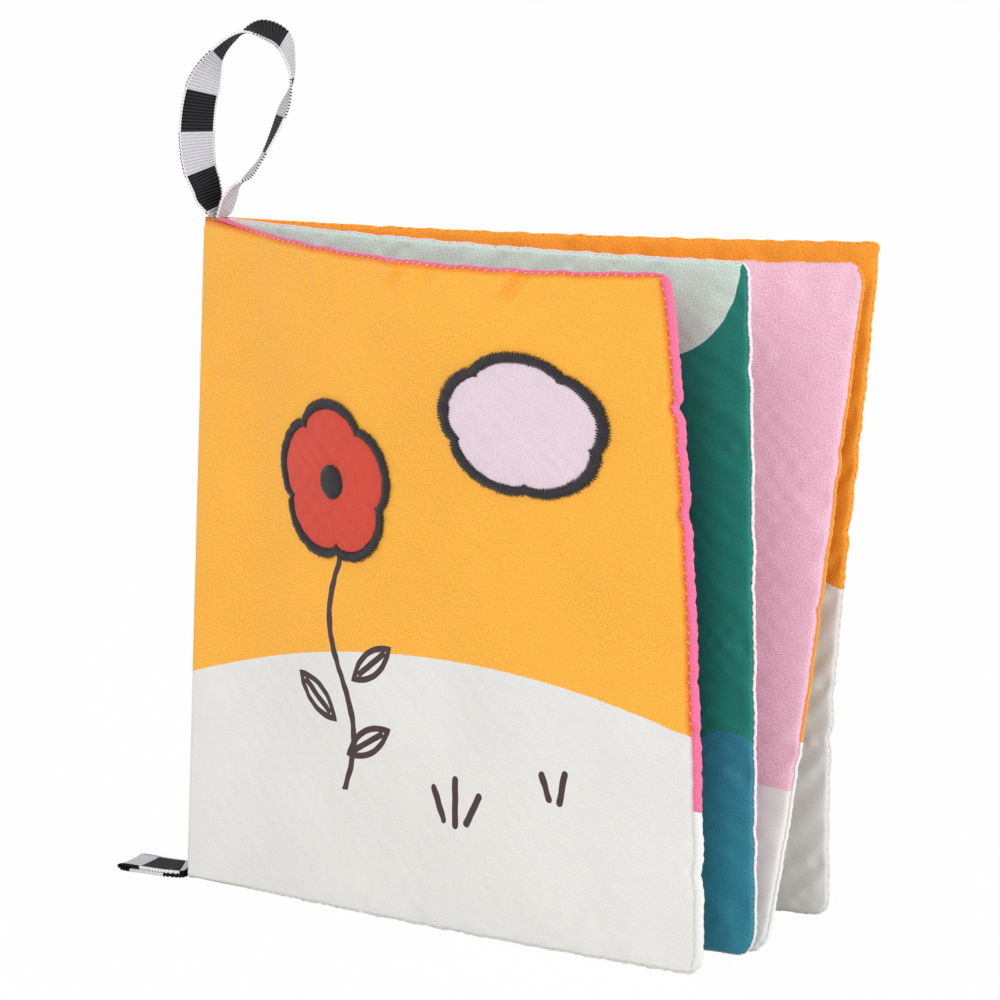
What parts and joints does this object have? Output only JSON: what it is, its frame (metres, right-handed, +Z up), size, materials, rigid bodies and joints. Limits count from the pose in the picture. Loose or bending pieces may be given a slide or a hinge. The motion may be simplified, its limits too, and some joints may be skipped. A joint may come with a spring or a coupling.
{
  "type": "baby soft book",
  "caption": "Padded cloth picture book for babies, standing open with its leaves fanned round a sewn spine, with striped ribbon loops at its top and bottom.",
  "frame": {"origin": "middle of the book's bounding box, on the surface that it stands on", "axes": "+Z up along the spine, -Y towards the reader who looks at the front cover, +X from the spine towards the fore edges"},
  "size_m": [0.1994, 0.1456, 0.2331],
  "materials": {
    "orange_cloth": "soft matt woven polyester",
    "hot_pink_cloth": "soft matt woven polyester",
    "teal_cloth": "soft matt woven polyester",
    "pale_pink_cloth": "soft matt woven polyester",
    "pink_cloth": "soft matt woven polyester",
    "deep_orange_cloth": "soft matt woven polyester",
    "padding": "loose polyester wadding",
    "thread": "spun polyester sewing thread",
    "seam_core": "bundled raw seam edges",
    "striped_ribbon": "ribbed woven ribbon in black and light grey stripes",
    "red_patch": "soft felted cloth",
    "pale_patch": "soft felted cloth",
    "dark_stitching": "satin embroidery thread"
  },
  "bodies": {
    "third_leaf": {"third_leaf_front_cloth": "pink_cloth", "third_leaf_back_cloth": "deep_orange_cloth", "third_leaf_padding": "padding", "third_leaf_seam_thread": "thread", "spine_core": "seam_core", "spine_outer_cloth": "orange_cloth", "spine_stitching": "thread"},
    "second_leaf": {"second_leaf_front_cloth": "teal_cloth", "second_leaf_back_cloth": "pale_pink_cloth", "second_leaf_padding": "padding", "second_leaf_seam_thread": "thread"},
    "front_cover": {"front_cover_outer_cloth": "orange_cloth", "front_cover_inner_cloth": "hot_pink_cloth", "front_cover_padding": "padding", "front_cover_seam_thread": "thread", "flower_patch": "red_patch", "flower_stitched_border": "dark_stitching", "flower_heart_stitching": "dark_stitching", "cloud_patch": "pale_patch", "cloud_stitched_border": "dark_stitching"},
    "back_cover": {"back_cover_inner_cloth": "deep_orange_cloth", "back_cover_outer_cloth": "orange_cloth", "back_cover_padding": "padding", "back_cover_seam_thread": "thread"},
    "top_loop": {"top_ribbon_loop": "striped_ribbon"},
    "bottom_loop": {"bottom_ribbon_loop": "striped_ribbon"}
  },
  "joints": [
    {"name": "second_leaf_turn", "type": "hinge", "parent": "third_leaf", "child": "second_leaf", "pos_m": [-0.07641, 0.05708, 0.09], "axis": [0, 0, -1], "range_deg": [-0.8, 60]},
    {"name": "front_cover_turn", "type": "hinge", "parent": "second_leaf", "child": "front_cover", "pos_m": [-0.07641, 0.05708, 0.09], "axis": [0, 0, -1], "range_deg": [-4, 30]},
    {"name": "back_cover_turn", "type": "hinge", "parent": "third_leaf", "child": "back_cover", "pos_m": [-0.07641, 0.05708, 0.09], "axis": [0, 0, 1], "range_deg": [-4.5, 72]},
    {"name": "top_loop_lean", "type": "hinge", "parent": "third_leaf", "child": "top_loop", "pos_m": [-0.07723, 0.05754, 0.1786], "axis": [0.4924, 0.8704, 0], "range_deg": [-40, 15]},
    {"name": "bottom_loop_lift", "type": "hinge", "parent": "third_leaf", "child": "bottom_loop", "pos_m": [-0.07703, 0.0575, 0.0057], "axis": [0.5592, 0.829, 0], "range_deg": [0, 50]}
  ]
}
